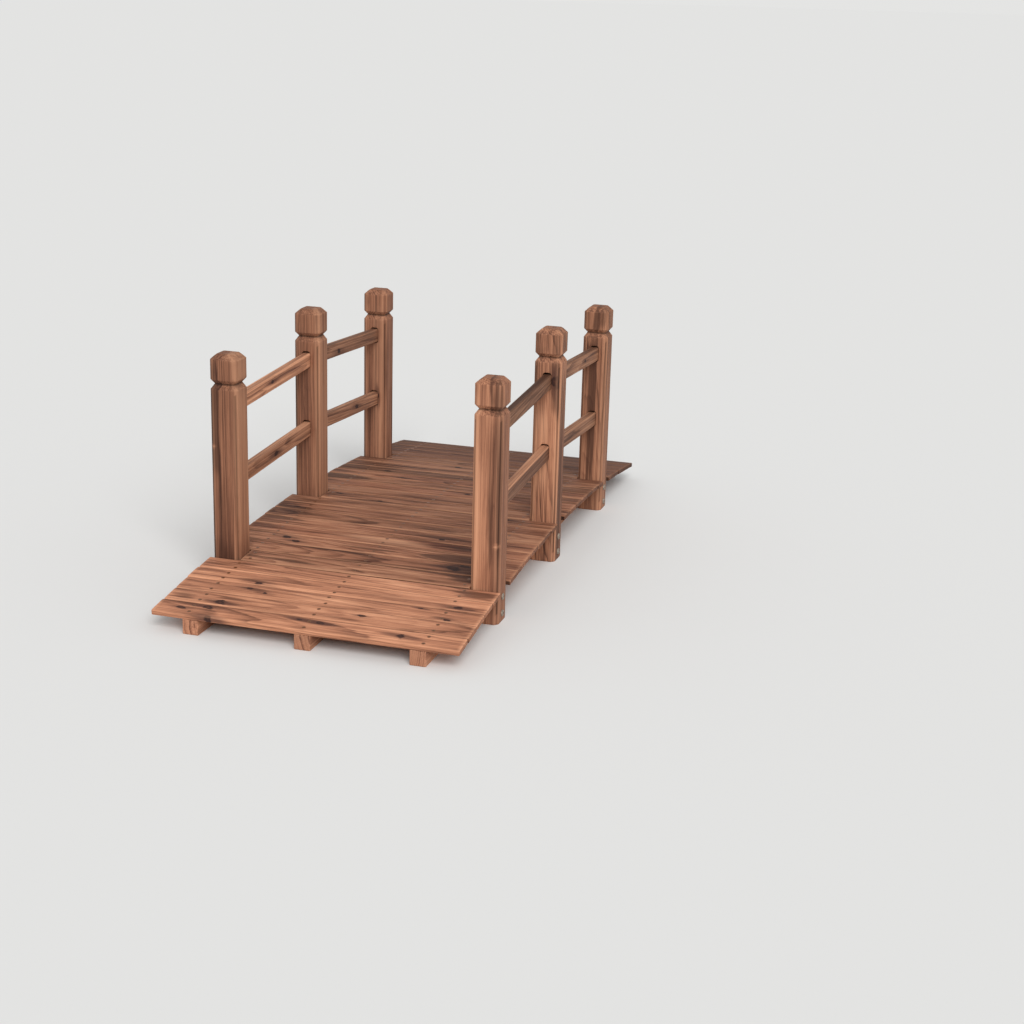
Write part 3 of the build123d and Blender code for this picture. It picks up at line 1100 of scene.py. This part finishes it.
def dome(foot, out):
    """Loops of a low domed head with a hexagon socket, standing out from foot."""
    radius = BOLT_HEAD / 2
    head = [(0.0, radius), (BOLT_RIM, radius)]
    for share in (0.93, 0.8, 0.62, 0.48):
        head.append((BOLT_RIM + (BOLT_DOME - BOLT_RIM) * math.sqrt(1 - share**2), share * radius))
    mouth = head[-1][0]
    socket = [(mouth, SOCKET_RADIUS), (mouth - SOCKET_DEPTH, SOCKET_RADIUS)]
    sides = 24
    rim = circle(sides, 1.0)
    # A hexagon's distance from its middle at each point of the rim
    sector = math.pi / 3
    turns = 2 * math.pi * np.arange(sides) / sides
    flats = math.cos(sector / 2) / np.cos(turns % sector - sector / 2)
    return [
        [(foot + out * x, y, z) for y, z in shape * reach]
        for rows, shape in ((head, rim), (socket, rim * flats[:, None]))
        for x, reach in rows
    ]


def bolt_set(outer_x, inner_x):
    """Domed head on the post, washer, nut and thread end on the stringer, along X."""
    out = math.copysign(1.0, outer_x - inner_x)
    washer = inner_x - out * WASHER_THICKNESS
    nut = washer - out * NUT_HEIGHT
    return mesh_of(
        "bolt_set",
        dome(outer_x, out),
        disc(inner_x, washer, WASHER_DIAMETER / 2, 32, 0.3 * MM),
        disc(washer, nut, NUT_RADIUS, 6, 0.5 * MM),
        disc(nut, nut - out * THREAD_END, THREAD_RADIUS, 20, 0.5 * MM),
    )


def bolts():
    """Two bolts through each post into the outer stringer."""
    for node in POST_GROWTH:
        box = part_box(node)
        side = node.split("_")[-1]
        outer, inner = (0, 1) if side == "left" else (1, 0)
        mesh = bolt_set(box[outer].x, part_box("stringer_" + side)[inner].x)
        y = (box[0].y + box[1].y) / 2
        parts = [(mesh, Matrix.Translation((0, y, height))) for height in BOLT_HEIGHTS]
        show_steel(node + "_bolts", parts, aged=0.0)


def bridge():
    """Every piece of the bridge."""
    for number in range(1, BOARD_COUNT + 1):
        deck_board(number)
    for node, values in RAILS.items():
        rail(node, *values)
    for row, bays in (("front", ("front",)), ("mid", ("front", "back")), ("back", ("back",))):
        for side in ("left", "right"):
            post(f"post_{row}_{side}", [
                f"{level}_rail_{bay}_{side}" for bay in bays for level in ("lower", "upper")
            ])
    for node, values in STRINGERS.items():
        stringer(node, *values)
    deck_screws()
    bolts()


# Floor, light and camera

def floor():
    """Plain pale floor."""
    mesh = bpy.data.meshes.new("floor")
    corners = [(x * FLOOR_REACH, y * FLOOR_REACH, 0) for x, y in ((-1, -1), (1, -1), (1, 1), (-1, 1))]
    mesh.from_pydata(corners, [], [(0, 1, 2, 3)])
    mesh.materials.append(Graph(bpy.data.materials.new("floor")).surface({
        "Base Color": (*FLOOR_COLOUR, 1), "Roughness": 0.95, "Specular IOR Level": 0.0,
    }))
    add_object("floor", mesh)


def towards(azimuth, elevation):
    """Direction in degrees, azimuth from the front (-Y) towards the right (+X)."""
    azimuth, elevation = math.radians(azimuth), math.radians(elevation)
    return Vector((
        math.sin(azimuth) * math.cos(elevation),
        -math.cos(azimuth) * math.cos(elevation),
        math.sin(elevation),
    ))


def aim(item, away, roll=0.0):
    """Turns a lamp or camera to look back along the direction away, rolled by degrees."""
    level = (-away).to_track_quat("-Z", "Y").to_matrix()
    item.rotation_mode = "QUATERNION"
    item.rotation_quaternion = (level @ Matrix.Rotation(math.radians(roll), 3, "Z")).to_quaternion()


def light():
    """Even studio light: a bright room and one broad lamp from the right front."""
    world = bpy.data.worlds.new("studio")
    bpy.context.scene.world = world
    graph = Graph(world)
    room = graph.nodes["Background"]
    graph.put(room.inputs["Color"], (1, 1, 1, 1))
    graph.put(room.inputs["Strength"], ROOM_LIGHT)
    backdrop = graph.node("ShaderNodeBackground", {"Color": (*BACKDROP_COLOUR, 1)})
    rays = graph.nodes.new("ShaderNodeLightPath").outputs
    seen = graph.math("MAXIMUM", rays["Is Camera Ray"], rays["Is Glossy Ray"])
    seen = graph.math("MAXIMUM", seen, rays["Is Transmission Ray"])
    choice = graph.node("ShaderNodeMixShader", {0: seen, 1: room.outputs[0], 2: backdrop})
    graph.put(graph.nodes["World Output"].inputs["Surface"], choice)
    lamp = bpy.data.lights.new("key", "SUN")
    lamp.energy = KEY_LIGHT
    lamp.angle = math.radians(KEY_SPREAD)
    aim(add_object("key", lamp), towards(KEY_AZIMUTH, KEY_ELEVATION))


def camera():
    """The photograph's camera."""
    data = bpy.data.cameras.new("camera")
    data.sensor_width = 36.0
    data.lens = FOCAL_PX / IMAGE_SIZE * data.sensor_width
    holder = add_object("camera", data)
    away = towards(CAMERA_AZIMUTH, CAMERA_ELEVATION)
    holder.location = CAMERA_TARGET + away * CAMERA_DISTANCE
    aim(holder, away, CAMERA_ROLL)
    bpy.context.scene.camera = holder
    bpy.context.scene.view_settings.view_transform = "Standard"


camera()
floor()
light()
bridge()
